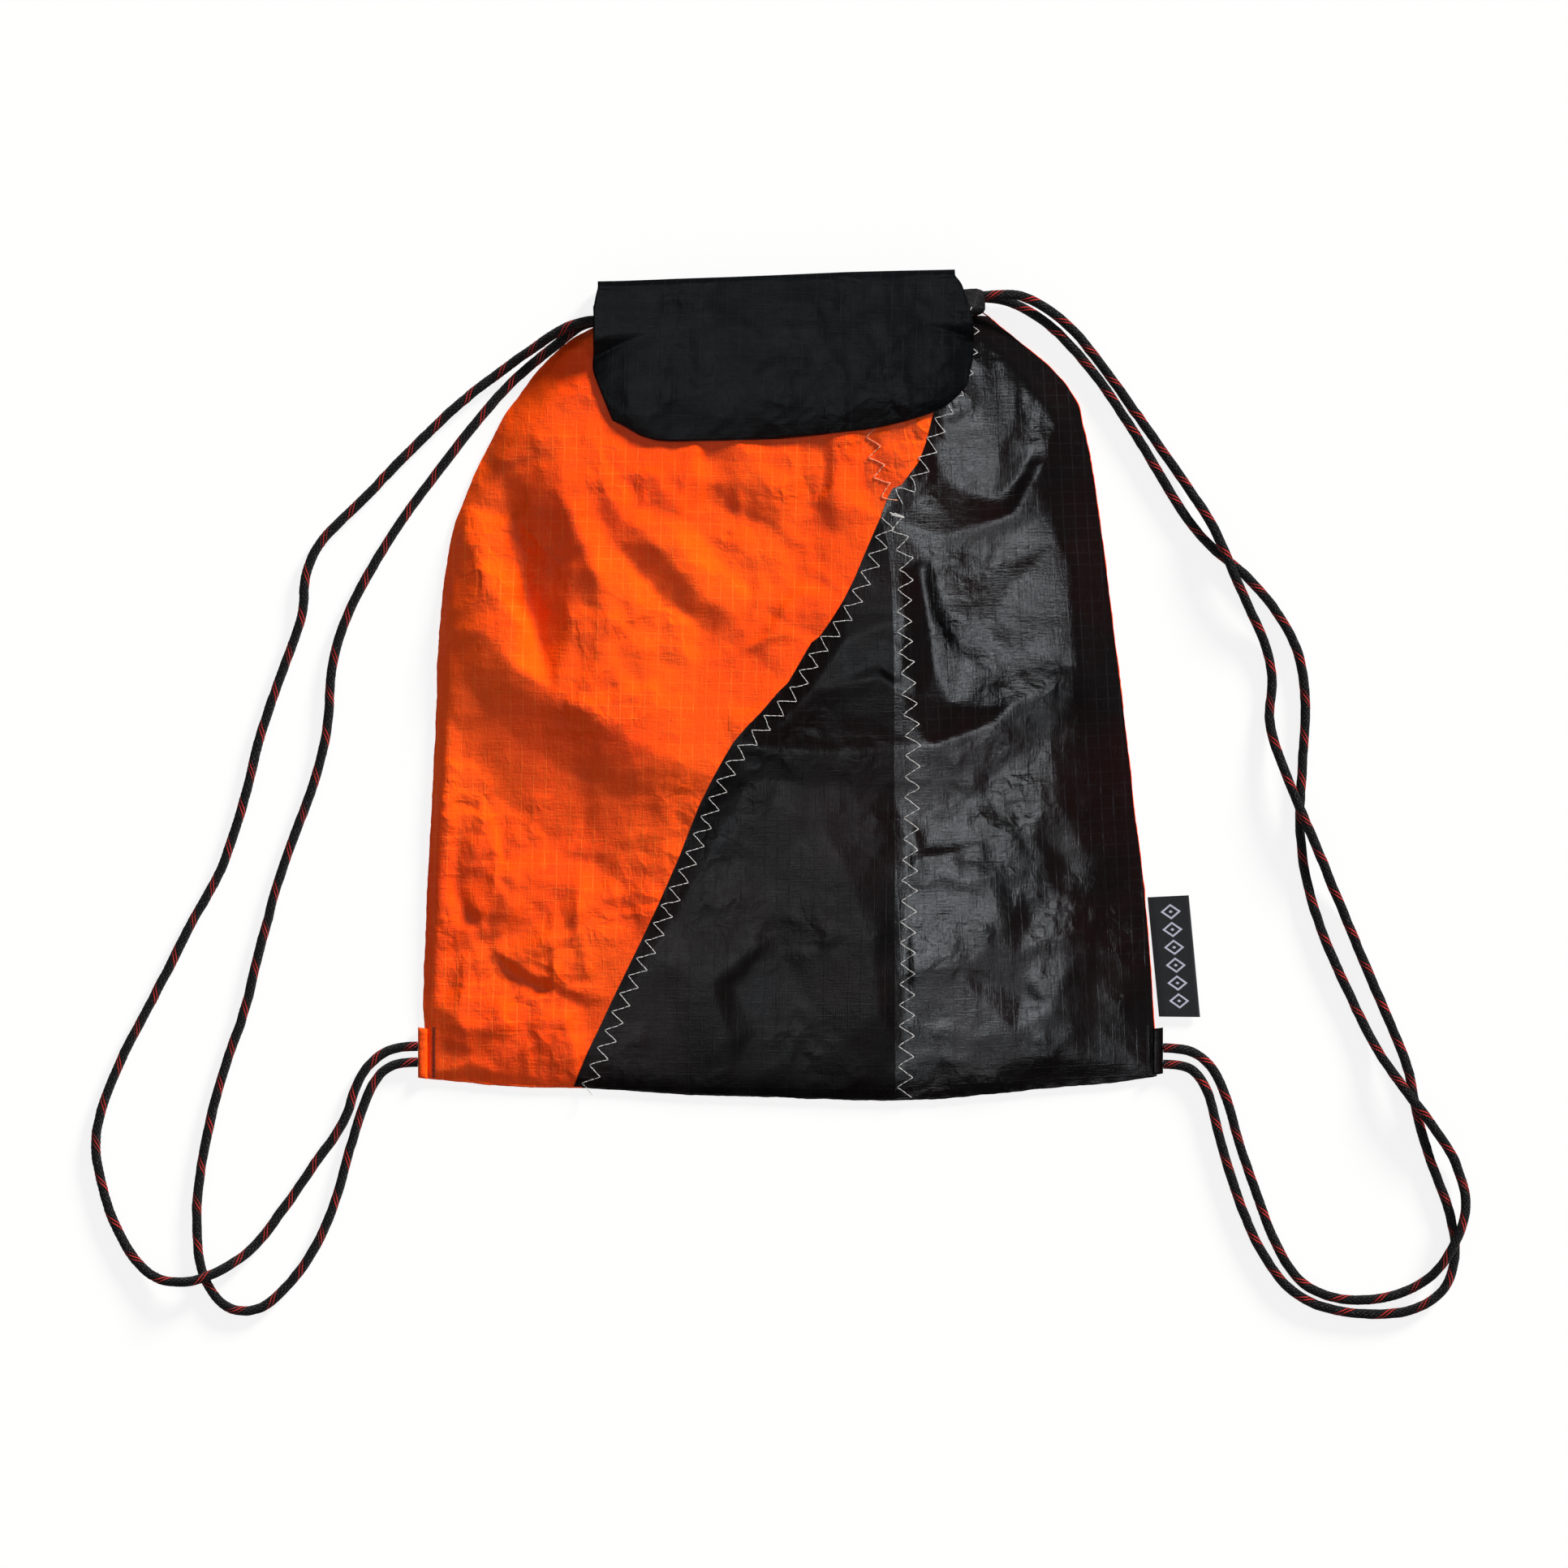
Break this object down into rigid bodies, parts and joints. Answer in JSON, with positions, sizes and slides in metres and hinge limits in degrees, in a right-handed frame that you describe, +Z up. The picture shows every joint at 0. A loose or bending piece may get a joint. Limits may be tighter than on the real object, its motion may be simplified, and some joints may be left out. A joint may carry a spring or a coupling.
{
  "type": "drawstring backpack",
  "caption": "Flap-top drawstring backpack of orange and black ripstop, lying flat with its cord shoulder straps spread.",
  "frame": {"origin": "middle of the back panel's outer face, which is the face the bag lies on", "axes": "+X across the front, +Y from the base to the mouth, +Z up, out of the front"},
  "size_m": [0.6793, 0.5159, 0.0231],
  "materials": {
    "orange_ripstop": "coated ripstop nylon kite cloth, satin, crinkled, with a 6 mm grid of thicker threads",
    "black_ripstop": "coated ripstop nylon kite cloth, glossy black with grey sheen on the creases",
    "black_lining": "plain black lining cloth, matt",
    "casing_cloth": "gathered black ripstop tube",
    "cord_braid": "round black polyester braid with short red tracer flecks about every 20 mm",
    "label_weave": null,
    "white_thread": "off-white polyester topstitching thread, matt",
    "black_thread": "black polyester bar-tack thread"
  },
  "bodies": {
    "root": {"back_panel": "orange_ripstop", "front_orange_panel": "orange_ripstop", "front_orange_tip_panel": "orange_ripstop", "front_black_centre_panel": "black_ripstop", "front_black_side_panel": "black_ripstop", "left_side_seam": "orange_ripstop", "right_side_seam": "black_ripstop", "bottom_seam": "orange_ripstop", "left_corner_tab": "orange_ripstop", "right_corner_tab": "black_ripstop", "left_corner_bartack": "black_thread", "right_corner_bartack": "black_thread", "front_casing": "casing_cloth", "back_casing": "casing_cloth", "front_casing_stitching": "white_thread", "back_casing_stitching": "white_thread", "flap_root_band": "black_ripstop", "diagonal_seam_thread": "white_thread", "upright_seam_thread": "white_thread", "left_cord": "cord_braid", "right_cord": "cord_braid"},
    "flap_riser": {"flap_riser": "black_ripstop"},
    "flap": {"flap_outer": "black_ripstop", "flap_lining": "black_lining", "flap_edge_stitching": "white_thread"},
    "side_label": {"side_label": "label_weave"}
  },
  "joints": [
    {"name": "flap_root_fold", "type": "hinge", "parent": "root", "child": "flap_riser", "pos_m": [-0.00646, 0.20019, 0.002], "axis": [-0.9994, -0.0333, 0], "range_deg": [0, 90]},
    {"name": "flap_top_fold", "type": "hinge", "parent": "flap_riser", "child": "flap", "pos_m": [-0.00646, 0.20019, 0.0217], "axis": [-0.9994, -0.0333, 0], "range_deg": [0, 90]},
    {"name": "label_flex", "type": "hinge", "parent": "root", "child": "side_label", "pos_m": [0.17725, -0.1336, 0.0016], "axis": [0.0958, -0.9954, 0], "range_deg": [0, 130]}
  ],
  "couplings": [
    {"joint": "flap_root_fold", "follows": "flap_top_fold", "ratio": 1}
  ]
}
